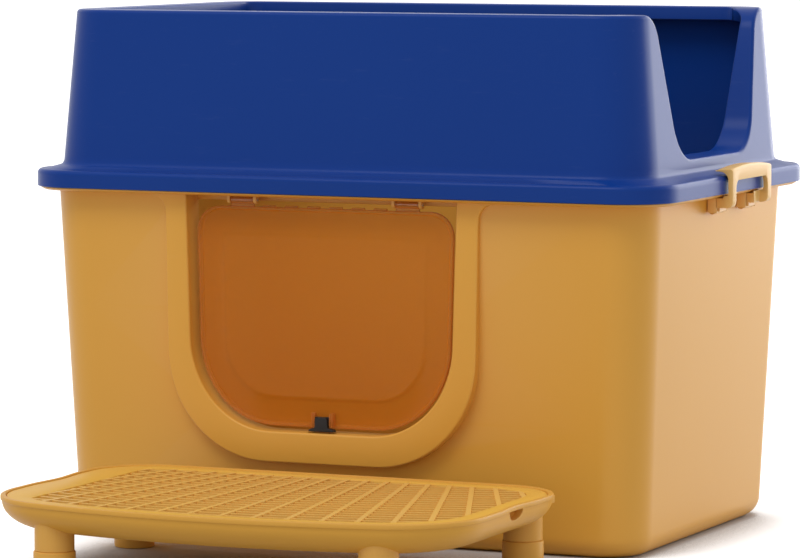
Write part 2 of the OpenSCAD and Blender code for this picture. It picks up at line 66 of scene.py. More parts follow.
# Hood
FLANGE_X = HOOD_HIGH[0]
FLANGE_Y = HOOD_HIGH[1]
FLANGE_R = 48
FLANGE_Z = HOOD_LOW[2]
TOP_Z = HOOD_HIGH[2]
LEDGE_Z = FLANGE_Z + 15.5
FOOT_Z = LEDGE_Z + 3.5
LEDGE_END = 21
LEDGE_SIDE = 11.5
HOOD_DRAFT = 11
HOOD_R = 45.8
HOOD_R_LOSS = 6.4
HOOD_T = 2.5
HOOD_FOOT = 2
FACE_R = 4.2
RIM_R = 3
RETURN = 26
SKIRT = 12
SCOOP_SKIRT = 5
CORNER_STRIPS = 14
SMOOTH_ANGLE = 38
SCOOP_INNER_LOW = 248
SCOOP_INNER_TOP = 256.5
SHOULDER_R = 26
SCOOP_R = 42
SCOOP_LEAN = 16.4
SCOOP_HALF = 88
SCOOP_Z = LEDGE_Z + 15.5

# Tub
BEAD_H = 9
TUB_Z = TUB_HIGH[2] - BEAD_H
TUB_X = FLANGE_X - 17
TUB_Y = FLANGE_Y - 17
TUB_R = 38
TUB_DRAFT = 12
TUB_T = 2.6
BASE_R = 18
RIM_T = 2.8
RIM_UNDER = TUB_Z - RIM_T

# Doorway
DOOR_X = (FLAP_LOW[0] + FLAP_HIGH[0]) / 2
FACE_Y = -FLANGE_Y + 14
SURROUND_D = 24.5
SILL_Z = FLAP_LOW[2] - 4
BAR_H = 26.8
DOOR_HALF = 127.6
OUTER_HALF = 148
DOOR_TAPER = 4.4
OUTER_TAPER = 2.6
TAPER_RUN = 150
HEADER_T = 2.5
HEADER_BACK = 10
KEEPER_PLAY = 0.6
DOOR_R = 78
OUTER_R = 95
FLARE_R = 16
KNUCKLE_R = 3.6
HINGE_Z = FLAP_HIGH[2] - KNUCKLE_R
FLAP_Y = FLAP_HIGH[1] - KNUCKLE_R
FLAP_HALF = (FLAP_HIGH[0] - FLAP_LOW[0]) / 2
FLAP_T = 2.8
FLAP_LOW_R = 72
FLAP_TOP_R = 22
FLAP_TAPER = 4
FLAP_TOP = HINGE_Z - KNUCKLE_R - 2.2
HINGE_OFF = 78
KNUCKLE_LEN = 21.5
LUG_T = 2.6
HINGE_GAP = 0.5
PIN_HOLE = 1.55

# Latches
LATCH_Y = (LATCH_LOW[1] + LATCH_HIGH[1]) / 2
LATCH_LEN = LATCH_HIGH[1] - LATCH_LOW[1]
LATCH_X = LATCH_HIGH[0]
PIVOT_X = LATCH_LOW[0] + KNUCKLE_R
PIVOT_Z = LATCH_LOW[2] + KNUCKLE_R
LATCH_HINGE = 37
LUG_PITCH = 20
LATCH_CROWN = 2.9
ARM_X = 291.2
CHEEK_T = 1.1

# Step
STEP_X = (TRAY_LOW[0] + TRAY_HIGH[0]) / 2
STEP_HALF = (TRAY_HIGH[0] - TRAY_LOW[0]) / 2
STEP_BACK = TRAY_HIGH[1]
STEP_FRONT = TRAY_LOW[1]
STEP_TOP = TRAY_HIGH[2]
FAN_Y = STEP_BACK + 354
FRONT_R = FAN_Y - STEP_FRONT
RIB_X = STEP_X - 28.6
RIB_Y = STEP_BACK + 375
RIB_R = RIB_Y - STEP_FRONT
FRONT_CORNER_R = 78
BACK_CORNER_R = 55
TRAY_D = 27.4
LIP_H = 4
LIP_T = 4.3
LIP_DIP = 3.2
NOTCH_REACH = 42
ROUND_STEPS = 56
LEDGE_W = 3.2
TRAY_T = 2.5
SEAT_Z = GRID_LOW[2]
GRID_PLAY = 0.5
BORDER = 15
BAND = 36
RIB_ANGLE = 2.57
RIB_W = 4.2
BAR_PITCH = 13
BAR_ROWS = 22
BAR_W = 3.4
NOTCH_Y = STEP_BACK - 117
NOTCH_HALF = 14
NOTCH_D = 8
SPIGOT_LOSS = 4.6
BORE_LOSS = 5.5
FEET = ["step_foot_front_left", "step_foot_front_right", "step_foot_back_left",
        "step_foot_back_right"]


# ---- Mesh tools ----

def arc(cx, cy, r, start, end, steps):
    """Points of an arc, with its angles in degrees."""
    turns = [math.radians(start + (end - start) * k / steps) for k in range(steps + 1)]
    return [(cx + r * math.cos(t), cy + r * math.sin(t)) for t in turns]


def spread(start, end, steps):
    """Evenly spaced values from start to end."""
    return [start + (end - start) * k / steps for k in range(steps + 1)]


def rounded(half_x, half_y, r, z, steps=14):
    """A level ring with rounded corners."""
    corners = ((1, 1, 0), (-1, 1, 90), (-1, -1, 180), (1, -1, 270))
    ring = []
    for sx, sy, turn in corners:
        ring += arc(sx * (half_x - r), sy * (half_y - r), r, turn, turn + 90, steps)
    return [(x, y, z) for x, y in ring]


def piece_from(name, mesh):
    """A Blender object from a bmesh, with clean faces that point outwards."""
    bmesh.ops.remove_doubles(mesh, verts=mesh.verts, dist=2e-6)
    bmesh.ops.recalc_face_normals(mesh, faces=mesh.faces)
    data = bpy.data.meshes.new(name)
    mesh.to_mesh(data)
    mesh.free()
    piece = bpy.data.objects.new(name, data)
    bpy.context.scene.collection.objects.link(piece)
    return piece


def loft(name, rings, loop=False):
    """A skin through rings of equal counts, capped, or closed on itself where loop is true."""
    mesh = bmesh.new()
    grid = [[mesh.verts.new([c * MM for c in p]) for p in ring] for ring in rings]
    follow = list(zip(grid, grid[1:]))
    if loop:
        follow.append((grid[-1], grid[0]))
    for near, far in follow:
        for k in range(len(near)):
            j = (k + 1) % len(near)
            mesh.faces.new((near[k], near[j], far[j], far[k]))
    if not loop:
        mesh.faces.new(list(reversed(grid[0])))
        mesh.faces.new(grid[-1])
    return piece_from(name, mesh)


def placed(axis, a, b, c):
    """A point from an outline's two values and its place along the axis across them."""
    return {"x": (c, a, b), "y": (a, c, b), "z": (a, b, c)}[axis]


def prism(name, outline, axis, low, high):
    """A straight piece with the outline across the axis."""
    return loft(name, [[placed(axis, a, b, c) for a, b in outline] for c in (low, high)])


def block(name, low, high):
    outline = [(low[0], low[1]), (high[0], low[1]), (high[0], high[1]), (low[0], high[1])]
    return prism(name, outline, "z", low[2], high[2])


def turned_rings(axis, centre, profile, steps=40):
    """Round rings from pairs of radius and place along the axis; centre is across the axis."""
    rings = []
    for r, along in profile:
        ring = arc(centre[0], centre[1], r, 0, 360 - 360 / steps, steps - 1)
        rings.append([placed(axis, a, b, along) for a, b in ring])
    return rings


def tube(name, axis, centre, r, hole, low, high, edge=0.3):
    """A round boss with a bore right through it."""
    profile = [(hole, low), (r - edge, low), (r, low + edge), (r, high - edge), (r - edge, high),
               (hole, high)]
    return loft(name, turned_rings(axis, centre, profile), loop=True)


def settle(piece):
    """Puts what the modifiers make in the piece's mesh, and takes the modifiers off."""
    view = bpy.context.evaluated_depsgraph_get()
    made = bpy.data.meshes.new_from_object(piece.evaluated_get(view))
    old = piece.data
    piece.modifiers.clear()
    piece.data = made
    bpy.data.meshes.remove(old)
    return piece


def discard(piece):
    """Removes a piece that is used up, with its mesh."""
    data = piece.data
    bpy.data.objects.remove(piece)
    bpy.data.meshes.remove(data)


def cut(piece, cutter):
    """Takes the cutter away from the piece."""
    step = piece.modifiers.new("cut", "BOOLEAN")
    step.operation = "DIFFERENCE"
    step.solver = "EXACT"
    step.object = cutter
    settle(piece)
    discard(cutter)
    return piece


def soften(piece, width, segments=2, angle=35):
    """Rounds the sharp edges."""
    step = piece.modifiers.new("edge", "BEVEL")
    step.width = width * MM
    step.segments = segments
    step.limit_method = "ANGLE"
    step.angle_limit = math.radians(angle)
    return settle(piece)


def joined(name, pieces):
    """One piece from several, which may overlap."""
    mesh = bmesh.new()
    for piece in pieces:
        mesh.from_mesh(piece.data)
    for piece in pieces:
        discard(piece)
    data = bpy.data.meshes.new(name)
    mesh.to_mesh(data)
    mesh.free()
    whole = bpy.data.objects.new(name, data)
    bpy.context.scene.collection.objects.link(whole)
    return whole


def mirrored(name, piece):
    """A mirror copy for the other end."""
    mesh = bmesh.new()
    mesh.from_mesh(piece.data)
    for vert in mesh.verts:
        vert.co.x = -vert.co.x
    return piece_from(name, mesh)


def shade(piece):
    piece.data.shade_smooth()
    piece.data.set_sharp_from_angle(angle=math.radians(SMOOTH_ANGLE))


# ---- Hood ----

def wall_outline(z):
    """Half sizes and corner radius of the hood's wall at height z."""
    rise = (z - FOOT_Z) / (TOP_Z - FOOT_Z)
    return (FLANGE_X - LEDGE_END - HOOD_DRAFT * rise, FLANGE_Y - LEDGE_SIDE - HOOD_DRAFT * rise,
            HOOD_R - HOOD_R_LOSS * rise)


def flange_outline(inset):
    return FLANGE_X - inset, FLANGE_Y - inset, FLANGE_R - inset


def scoop_half():
    """Half of the scoop's edge, from its middle up to the rim: y, z and the edge's normal."""
    lean = math.radians(SCOOP_LEAN)
    slope = math.tan(lean)
    reach = math.sqrt(1 + slope * slope)
    yc = SCOOP_HALF + slope * SCOOP_R - SCOOP_R * reach
    zs = TOP_Z - SHOULDER_R
    ys = SCOOP_HALF + slope * (zs - SCOOP_Z) + SHOULDER_R * reach
    edge = [(y, SCOOP_Z, 0, 1) for y in spread(0, yc, 5)[:-1]]
    for y, z in arc(yc, SCOOP_Z + SCOOP_R, SCOOP_R, -90, -SCOOP_LEAN, 16):
        edge.append((y, z, (yc - y) / SCOOP_R, (SCOOP_Z + SCOOP_R - z) / SCOOP_R))
    shoulder = arc(ys, zs, SHOULDER_R, 180 - SCOOP_LEAN, 90, 12)
    low, high = edge[-1], shoulder[0]
    for k in (1, 2, 3):
        edge.append((low[0] + (high[0] - low[0]) * k / 4, low[1] + (high[1] - low[1]) * k / 4,
                     low[2], low[3]))
    for y, z in shoulder:
        edge.append((y, z, (y - ys) / SHOULDER_R, (z - zs) / SHOULDER_R))
    return edge


def end_column(y, z, ny, nz):
    """One upright strip of the right end: where it lies on an outline, and its edge."""
    side = y - 4 * ny

    def at(outline):
        half_x, half_y, r = outline
        past = abs(side) - (half_y - r)
        return (half_x if past <= 0 else half_x - r + math.sqrt(r * r - past * past)), side
    return {"at": at, "edge": (y, z), "normal": (ny, nz), "in": (-1, 0)}


def round_column(sx, sy, share, first_y=None):
    """One strip in a corner; share runs from the end wall to the long wall."""
    def turn(outline):
        _, half_y, r = outline
        start = 0
        if first_y is not None:
            start = math.asin(max(-0.99, min(0.99, (first_y - half_y + r) / r)))
        return start + (math.pi / 2 - start) * share

    def at(outline):
        half_x, half_y, r = outline
        a = turn(outline)
        return (sx * (half_x - r + r * math.cos(max(a, 0))), sy * (half_y - r + r * math.sin(a)))
    a = turn(wall_outline(TOP_Z))
    return {"at": at, "edge": None, "normal": (0, 1), "in": (-sx * math.cos(a), -sy * math.sin(a))}


def straight_column(sx, sy, share):
    """One strip of a long wall, or of the left end where sx is set."""
    def at(outline):
        half_x, half_y, r = outline
        if sx:
            return sx * half_x, share * (half_y - r)
        return share * (half_x - r), sy * half_y
    return {"at": at, "edge": None, "normal": (0, 1), "in": (-sx, -sy)}


def hood_columns():
    """The upright strips of the hood, once round from the near side of the scoop cut."""
    half = scoop_half()
    last = half[-1][0]
    columns = [end_column(-y, z, -ny, nz) for y, z, ny, nz in reversed(half[1:])]
    columns += [end_column(*place) for place in half]
    corner = [k / CORNER_STRIPS for k in range(CORNER_STRIPS + 1)]
    columns += [round_column(1, 1, share, last) for share in corner[1:]]
    columns += [straight_column(0, 1, share) for share in spread(1, -1, 8)[1:-1]]
    columns += [round_column(-1, 1, 1 - share) for share in corner]
    columns += [straight_column(-1, 0, share) for share in spread(1, -1, 4)[1:-1]]
    columns += [round_column(-1, -1, share) for share in corner]
    columns += [straight_column(0, -1, share) for share in spread(-1, 1, 8)[1:-1]]
    columns += [round_column(1, -1, 1 - share, last) for share in corner[:-1]]
    return columns


def return_depth(column):
    """How far the rim turns in: less at the top of the scoop cut than round the open top."""
    if column["edge"] is None:
        return RETURN
    y, z = column["edge"]
    rise = (z - LEDGE_Z) / (TOP_Z - LEDGE_Z)
    inner = SCOOP_INNER_LOW + (SCOOP_INNER_TOP - SCOOP_INNER_LOW) * rise
    blend = max(0, min(1, (abs(y) - 122) / 20))
    depth = wall_outline(z)[0] - inner
    return depth + (RETURN - depth) * blend * blend * (3 - 2 * blend)


def hood_ring(column):
    """The hood's section at one strip: flange, ledge, wall, turned-in rim, and back inside."""
    at, (ux, uy) = column["at"], column["in"]
    ny, nz = column["normal"]
    edge_y, edge_z = column["edge"] or (0, TOP_Z)
    skirt = SCOOP_SKIRT + (SKIRT - SCOOP_SKIRT) * max(0, min(1, (edge_z - TOP_Z + 30) / 30))
    deep = return_depth(column)

    def on(outline, z):
        return (*at(outline), z)

    def on_rim(inward, up):
        z = edge_z + up * nz
        if column["edge"]:
            y = edge_y + up * ny
            half_x, half_y, r = wall_outline(z if inward < 4 else edge_z)
            past = abs(y) - (half_y - r)
            x = half_x if past <= 0 else half_x - r + math.sqrt(max(1, r * r - past * past))
        else:
            x, y = at(wall_outline(z if inward < 4 else edge_z))
        return x + ux * inward, y + uy * inward, z

    face = LEDGE_Z - FACE_R
    ring = [on(flange_outline(0.5), FLANGE_Z), on(flange_outline(0), FLANGE_Z + 0.5),
            on(flange_outline(0), FLANGE_Z + 1.2), on(flange_outline(0), face - 1)]
    ring += [on(flange_outline(inset), z) for inset, z in arc(FACE_R, face, FACE_R, 180, 90, 7)]
    ring += [on(flange_outline(inset), LEDGE_Z - drop)
             for inset, drop in ((5.2, 0.35), (6.2, 0.6), (6.9, 0.45))]
    foot_x, foot_y, foot_r = wall_outline(FOOT_Z)
    for out, rise in ((3.4, -0.45), (2.6, -0.15), (1.5, 0.45), (0.7, 1.3), (0.2, 2.4)):
        ring.append(on((foot_x + out, foot_y + out, foot_r + out), FOOT_Z + rise))
    low_z = FOOT_Z + 3.6
    low = on(wall_outline(low_z), low_z)
    high = on_rim(0, -RIM_R - 1)
    ring.append(low)
    for share in (0.04, 0.5, 0.96):
        ring.append(tuple(a + (b - a) * share for a, b in zip(low, high)))
    for inward, up in [(0, -RIM_R - 1), *arc(RIM_R, -RIM_R, RIM_R, 180, 90, 5), (RIM_R + 1, 0),
                       (deep - 2.6, 0),
                       *arc(deep - 1.6, -1.6, 1.6, 90, 0, 3), (deep, -skirt + 0.6),
                       (deep - 0.6, -skirt), (deep - 1.9, -skirt), (deep - HOOD_T, 0.6 - skirt),
                       (deep - HOOD_T, -HOOD_T - 0.8), (deep - HOOD_T - 0.8, -HOOD_T),
                       (HOOD_T + 1.6, -HOOD_T), (HOOD_T + 0.4, -HOOD_T - 0.5),
                       (HOOD_T, -HOOD_T - 1.6), (HOOD_T, -HOOD_T - 2.4)]:
        ring.append(on_rim(inward, up))
    under = LEDGE_Z - HOOD_T
    inside = (foot_x - HOOD_T, foot_y - HOOD_T, foot_r - HOOD_T)
    ring += [on(inside, under + 5), on(inside, under + 1),
             on((foot_x - 1.5, foot_y - 1.5, foot_r - 1.5), under)]
    ring += [on(flange_outline(HOOD_T + inset), z)
             for inset, z in ((1, under), (0, under - 1), (0, FLANGE_Z + 3),
                              (HOOD_FOOT, FLANGE_Z + 1.5), (HOOD_FOOT, FLANGE_Z + 0.02))]
    return ring


def make_hood():
    return loft("hood_shell", [hood_ring(column) for column in hood_columns()], loop=True)


# ---- Tub ----

def tub_ring(inset, z, base=0):
    """The tub's wall, moved in by inset, at height z; base is how far it has rounded in."""
    lean = TUB_DRAFT * (1 - max(0, z - BASE_R) / (TUB_Z - BASE_R))
    return rounded(TUB_X - inset - lean - base, TUB_Y - inset - lean - base,
                   TUB_R - inset - base * 0.6, z)


def tub_body():
    """The tub's wall and floor, with the rim and the bead that stands up inside the hood."""
    turns = [math.radians(a) for a in spread(90, 0, 10)]
    rings = [tub_ring(0, BASE_R * (1 - math.sin(a)), BASE_R * (1 - math.cos(a))) for a in turns]
    rings += [tub_ring(0, z) for z in (BASE_R + 2, 110, 200, RIM_UNDER - 1.6, RIM_UNDER - 0.8)]

    def rim(out, z):
        return rounded(TUB_X + out, TUB_Y + out, TUB_R + out / 2, z)
    rings += [rim(0.3, RIM_UNDER - 0.2), rim(1, RIM_UNDER), rim(11.2, RIM_UNDER),
              rim(13.7, TUB_Z - 1.3), rim(14, TUB_Z - 0.9), rim(14, TUB_Z - 0.4),
              rim(13.3, TUB_Z), rim(0.6, TUB_Z), rim(-0.2, TUB_Z + 0.6),
              rim(-0.2, TUB_Z + BEAD_H - 0.7), rim(-0.8, TUB_Z + BEAD_H), rim(-2, TUB_Z + BEAD_H),
              rim(-TUB_T, TUB_Z + BEAD_H - 0.7), rim(-TUB_T, TUB_Z)]
    rings += [tub_ring(TUB_T, z) for z in (TUB_Z - 2, 200, 110, BASE_R + 2)]
    inner = BASE_R - TUB_T
    rings += [tub_ring(TUB_T, TUB_T + inner * (1 - math.sin(a)), inner * (1 - math.cos(a)))
              for a in reversed(turns)]
    return loft("tub_body", rings)


def doorway(half, low, r, top, taper):
    """Points of the doorway's U, seen from the front, narrowing a little on the way down."""
    side = [(-half, z) for z in spread(top, low + r, 12)[:-1]]
    flare = spread(0, FLARE_R, 5)
    side = [(-half, top - h) for h in flare[:-1]] + [p for p in side if p[1] <= top - FLARE_R]
    bend = arc(-half + r, low + r, r, 180, 270, 18)
    floor = [(x, low) for x in spread(-half + r, 0, 3)[1:-1]]
    left = side + bend + floor
    path = left + [(0, low)] + [(-x, z) for x, z in reversed(left)]
    return [(x * (1 - taper / half * min(1, (top - z) / TAPER_RUN)), z) for x, z in path]


def surround():
    """A hollow frame round the doorway, rounded in front and flared where it meets the rim."""
    outer = doorway(OUTER_HALF, SILL_Z - BAR_H, OUTER_R, RIM_UNDER, OUTER_TAPER)
    inner = doorway(DOOR_HALF, SILL_Z, DOOR_R, RIM_UNDER, DOOR_TAPER)
    back, wall = FACE_Y + SURROUND_D, 2.5
    rings = []
    for (ax, az), (bx, bz) in zip(outer, inner):
        rise = az - (RIM_UNDER - FLARE_R)
        if rise > 0:
            ax += math.copysign(FLARE_R - math.sqrt(max(0, FLARE_R ** 2 - rise ** 2)), ax)
        width = math.hypot(bx - ax, bz - az)
        section = [(0, back), (0, FACE_Y + 3), *arc(1.6, FACE_Y + 1.6, 1.6, 180, 270, 4)]
        section += arc(width - 2, FACE_Y + 2, 2, 270, 360, 4)
        section += [(width, FACE_Y + 3), (width, back), (width - wall, back),
                    (width - wall, FACE_Y + wall), (wall, FACE_Y + wall), (wall, back)]
        rings.append([(DOOR_X + ax + (bx - ax) * s / width, y, az + (bz - az) * s / width)
                      for s, y in section])
    return loft("surround", rings)


def hinge_lug(axis, along, across, z, top, thick):
    """A lug that hangs from the rim and carries a pin, rounded below and bored."""
    low, high = along - thick / 2, along + thick / 2
    outline = arc(across, z, KNUCKLE_R, 180, 360, 12)
    outline += [(across + KNUCKLE_R, top), (across - KNUCKLE_R, top)]
    lug = prism("lug", outline, axis, low, high)
    bore = prism("bore", arc(across, z, PIN_HOLE, 0, 345, 23), axis, low - 1, high + 1)
    return cut(lug, bore)


def flap_lugs():
    offset = KNUCKLE_LEN / 2 + HINGE_GAP + LUG_T / 2
    return [hinge_lug("x", DOOR_X + side * HINGE_OFF + end * offset, FLAP_Y, HINGE_Z,
                      RIM_UNDER + 0.2, LUG_T) for side in (-1, 1) for end in (-1, 1)]


def latch_lugs():
    return [hinge_lug("y", LATCH_Y + hinge * LATCH_HINGE + end * LUG_PITCH / 2, side * PIVOT_X,
                      PIVOT_Z, RIM_UNDER + 0.2, LUG_T)
            for side in (-1, 1) for hinge in (-1, 1) for end in (-1, 1)]


def keeper_cut():
    """The slot in the sill that takes the lock's foot."""
    return block("keeper", (LOCK_LOW[0] - KEEPER_PLAY, LOCK_LOW[1] - KEEPER_PLAY, SILL_Z - 4),
                 (LOCK_HIGH[0] + KEEPER_PLAY, LOCK_HIGH[1] + KEEPER_PLAY, SILL_Z + 1))


def make_tub():
    body = tub_body()
    middle = doorway((OUTER_HALF + DOOR_HALF) / 2, SILL_Z - BAR_H / 2, (OUTER_R + DOOR_R) / 2,
                     RIM_UNDER, 3)
    cut(body, prism("opening", [(x + DOOR_X, z) for x, z in middle], "y", -FLANGE_Y, -FLANGE_Y / 2))
    frame_piece = cut(surround(), keeper_cut())
    plate_y = FLAP_Y + HEADER_BACK
    half = DOOR_HALF + 1.5
    header = block("header", (DOOR_X - half, plate_y, HINGE_Z - 1.5),
                   (DOOR_X + half, plate_y + HEADER_T, TUB_Z - 0.1))
    lintel = block("lintel", (DOOR_X - half, FACE_Y, RIM_UNDER),
                   (DOOR_X + half, plate_y + HEADER_T, TUB_Z))
    pieces = [body, frame_piece, soften(header, 0.5), soften(lintel, 0.4)]
    return joined("tub_shell", pieces + flap_lugs() + latch_lugs())


# ---- Door flap and lock ----

def flap_outline(inset):
    """The flap seen from the front, narrowing a little on the way down."""
    low, top, half = FLAP_LOW[2] + inset, FLAP_TOP - inset, FLAP_HALF - inset
    low_r, top_r = FLAP_LOW_R - inset, max(FLAP_TOP_R - inset, 3)
    right = [(x, low) for x in spread(0, half - low_r, 3)[:-1]]
    right += arc(half - low_r, low + low_r, low_r, 270, 360, 16)
    right += [(half, z) for z in spread(low + low_r, top - top_r, 5)[1:-1]]
    right += arc(half - top_r, top - top_r, top_r, 0, 90, 8)
    right += [(x, top) for x in spread(half - top_r, 0, 6)[1:]]
    loop = right + [(-x, z) for x, z in reversed(right[1:-1])]
    return [(x * (1 - FLAP_TAPER / FLAP_HALF * min(1, (FLAP_TOP - z) / TAPER_RUN)), z)
            for x, z in loop]


def flap_panel():
    """The clear sheet: a rim bead all round, and a panel inside it that stands forward."""
    half_t, bead, step = FLAP_T / 2, 2.3, 1.2
    edge = [(0, bead - 0.6), (0.6, bead), (2.4, bead), (3, bead - 0.5), (3.4, half_t), (22, half_t)]
    panel = ((23.5, 0.3), (25, 1), (26.5, 1))
    front = [(inset, -y) for inset, y in edge]
    front += [(inset, -half_t - step * share) for inset, share in panel]
    back = edge + [(inset, half_t - step * share) for inset, share in panel]
    return loft("flap_panel", [[(DOOR_X + x, FLAP_Y + y, z) for x, z in flap_outline(inset)]
                               for inset, y in front[::-1] + back])


def make_flap():
    """The flap with its tabs, its hinge knuckles and the two rails that hold the lock."""
    parts = [flap_panel()]
    tabs, length, gap = 6, 12, 9
    run = tabs * length + (tabs - 1) * gap
    for k in range(tabs):
        x = DOOR_X - run / 2 + k * (length + gap)
        parts.append(soften(block("tab", (x, FLAP_Y - 1.4, FLAP_TOP - 0.6),
                                  (x + length, FLAP_Y + 1.4, FLAP_TOP + 1.6)), 0.4))
    for side in (-1, 1):
        x = DOOR_X + side * HINGE_OFF
        low, high = x - KNUCKLE_LEN / 2, x + KNUCKLE_LEN / 2
        parts.append(tube("knuckle", "x", (FLAP_Y, HINGE_Z), KNUCKLE_R, PIN_HOLE, low, high))
        parts.append(block("knuckle_web", (low, FLAP_Y - 1.4, FLAP_TOP - 0.6),
                           (high, FLAP_Y + 1.4, HINGE_Z - PIN_HOLE - 0.3)))
        rail = DOOR_X + side * 9.0
        lip = DOOR_X + side * 7.9
        low_z = FLAP_LOW[2] + 0.3
        parts.append(soften(block("rail", (rail - 1.3, LOCK_LOW[1] + 2, low_z),
                                  (rail + 1.3, FLAP_Y - 1, low_z + 13)), 0.5))
        parts.append(soften(block("rail_lip", (lip - 1.2, LOCK_LOW[1] + 2, low_z),
                                  (lip + 1.2, LOCK_LOW[1] + 3.4, low_z + 13)), 0.4))
    return joined("door_flap_clear", parts)


def make_lock():
    """A black slider: a knob on a wide foot, with ears that run behind the rails."""
    mid = (LOCK_LOW[0] + LOCK_HIGH[0]) / 2
    low, high, rear = LOCK_LOW[2], LOCK_HIGH[2], LOCK_HIGH[1]
    half, foot = 6.2, LOCK_HIGH[0] - mid
    right = [(foot, 0), (foot, 1.1), (foot - 2.2, 2.5), (half + 1.2, 2.7), (half, 3.6),
             (half - 0.5, high - low - 1.8), (half - 2.2, high - low)]
    outline = [(mid + x, low + z) for x, z in right]
    outline += [(mid - x, low + z) for x, z in reversed(right)]
    knob = soften(prism("knob", outline, "y", LOCK_LOW[1], rear), 0.7, 3)
    ears = block("ears", (mid - half - 1.2, rear - 2.6, low + 2.6), (mid + half + 1.2, rear, high))
    return joined("lock_knob", [knob, soften(ears, 0.3)])


# ---- Latches ----

def latch_section(y):
    """The latch seen along Y at the right end, higher in the middle of its length."""
    share = (y - LATCH_Y) / (LATCH_LEN / 2)
    crown = LATCH_CROWN * (1 - share * share)
    x, under, top = LATCH_X, LEDGE_Z + 3.6, LATCH_HIGH[2] - LATCH_CROWN + crown
    arm_low, arm_high = PIVOT_Z + 2.2, RIM_UNDER - 0.9
    points = [(ARM_X, arm_low), (302.6, arm_low), (305, arm_low + 1.1), (306.2, arm_low + 3.4),
              (x, arm_low + 6), (x, top - 2.5)]
    points += [(x - 2.5 + a, top - 2.5 + b) for a, b in arc(0, 0, 2.5, 15, 75, 4)]
    points += [(x - 2.5, top), (293.2, top - 0.6), (291.3, top - 1.4), (290.3, under + 0.9),
               (291.0, under + 0.1), (294.5, under), (297.4, under - 0.5), (299.8, under - 1.9),
               (301.5, under - 4), (302.3, under - 6.8), (302.5, TUB_Z + 1), (302.2, TUB_Z - 1.2),
               (301.4, TUB_Z - 1.6), (298.2, TUB_Z - 1.9), (297.7, arm_high), (ARM_X, arm_high)]
    return [(px, y, pz) for px, pz in points]


def make_latch():
    """The right latch: a hooked clip with a window, on two tongues with bored ends."""
    body = loft("latch_body", [latch_section(y) for y in spread(LATCH_LOW[1], LATCH_HIGH[1], 16)])
    half, head, r = LATCH_LEN / 2 - 9.5, TUB_Z + 11.6, 7
    below, beyond, window_x, gap_x = 270, 312, 299, 280
    window = [(-half, below), (half, below), *arc(half - r, head - r, r, 0, 90, 8),
              *arc(-half + r, head - r, r, 90, 180, 8)]
    cut(body, prism("window", [(LATCH_Y + a, b) for a, b in window], "x", window_x, beyond))
    gap = LATCH_LEN / 2 - 24
    cut(body, block("arm_gap", (gap_x, LATCH_Y - gap, below), (beyond, LATCH_Y + gap, TUB_Z)))
    parts = [soften(body, 0.4, 2, 40)]
    tongue = LUG_PITCH - LUG_T - 2 * HINGE_GAP
    for hinge in (-1, 1):
        y = LATCH_Y + hinge * LATCH_HINGE
        low, high = y - tongue / 2, y + tongue / 2
        parts.append(tube("tongue", "y", (PIVOT_X, PIVOT_Z), KNUCKLE_R, PIN_HOLE, low, high))
        parts.append(block("tongue_web", (PIVOT_X + 2.2, low, PIVOT_Z - 1.2),
                           (ARM_X + 1.8, high, PIVOT_Z + KNUCKLE_R - 0.2)))
        for side in (-1, 1):
            mid = y + side * 12.5 - hinge * 0.05
            low, high = mid - CHEEK_T / 2, mid + CHEEK_T / 2
            parts.append(soften(block("cheek", (PIVOT_X - KNUCKLE_R, low, PIVOT_Z - 2.2),
                                      (ARM_X + 0.8, high, RIM_UNDER - 1)), 0.3))
    return joined("latch_right_clip", parts)


# ---- Step ----

def step_plan(inset):
    """The step seen from above: straight back and sides, front round the grid's fan centre."""
    a, r = STEP_HALF - inset, FRONT_CORNER_R - inset / 2
    back_r, far, back = BACK_CORNER_R - inset / 2, FRONT_R - inset, STEP_BACK - inset
    xc = a - r
    yf = FAN_Y - math.sqrt((far - r) ** 2 - xc * xc)
    phi = math.degrees(math.atan2(FAN_Y - yf, xc))
    plan = arc(a - back_r, back - back_r, back_r, 0, 90, 14)
    plan += [(x, back) for x in spread(a - back_r, back_r - a, 8)[1:-1]]
    plan += arc(back_r - a, back - back_r, back_r, 90, 180, 14)
    plan += [(-a, y) for y in spread(back - back_r, yf, 20)[1:-1]]
    plan += arc(-xc, yf, r, 180, 180 + phi, 16)
    plan += arc(0, FAN_Y, far, 180 + phi, 360 - phi, 28)[1:-1]
    plan += arc(xc, yf, r, 360 - phi, 360, 16)
    plan += [(a, y) for y in spread(yf, back - back_r, 20)[1:-1]]
    return plan


def step_ring(inset, z, scallop=0, band=None):
    """A level ring of the step; scallop draws the lip in beside each finger notch, and band
    keeps the ring that far from the step's left side."""
    ring = []
    for x, y in step_plan(inset):
        if band is not None:
            x = max(x, band - STEP_HALF)
        near = max(0, 1 - abs(y - NOTCH_Y) / NOTCH_REACH)
        if abs(x) > STEP_HALF - inset - 1:
            x -= math.copysign(scallop * math.sin(near * math.pi / 2) ** 2, x)
        ring.append((STEP_X + x, y, z))
    return ring


def bowl_rings(inset, reach, top, floor, scallop=0):
    """Rings of a bowl from its rim down to its floor."""
    turns = [math.radians(a) for a in spread(0, 90, 12)]
    return [step_ring(inset + reach * (1 - math.cos(a)), top - (top - floor) * math.sin(a),
                      scallop * (1 - math.sin(a))) for a in turns]


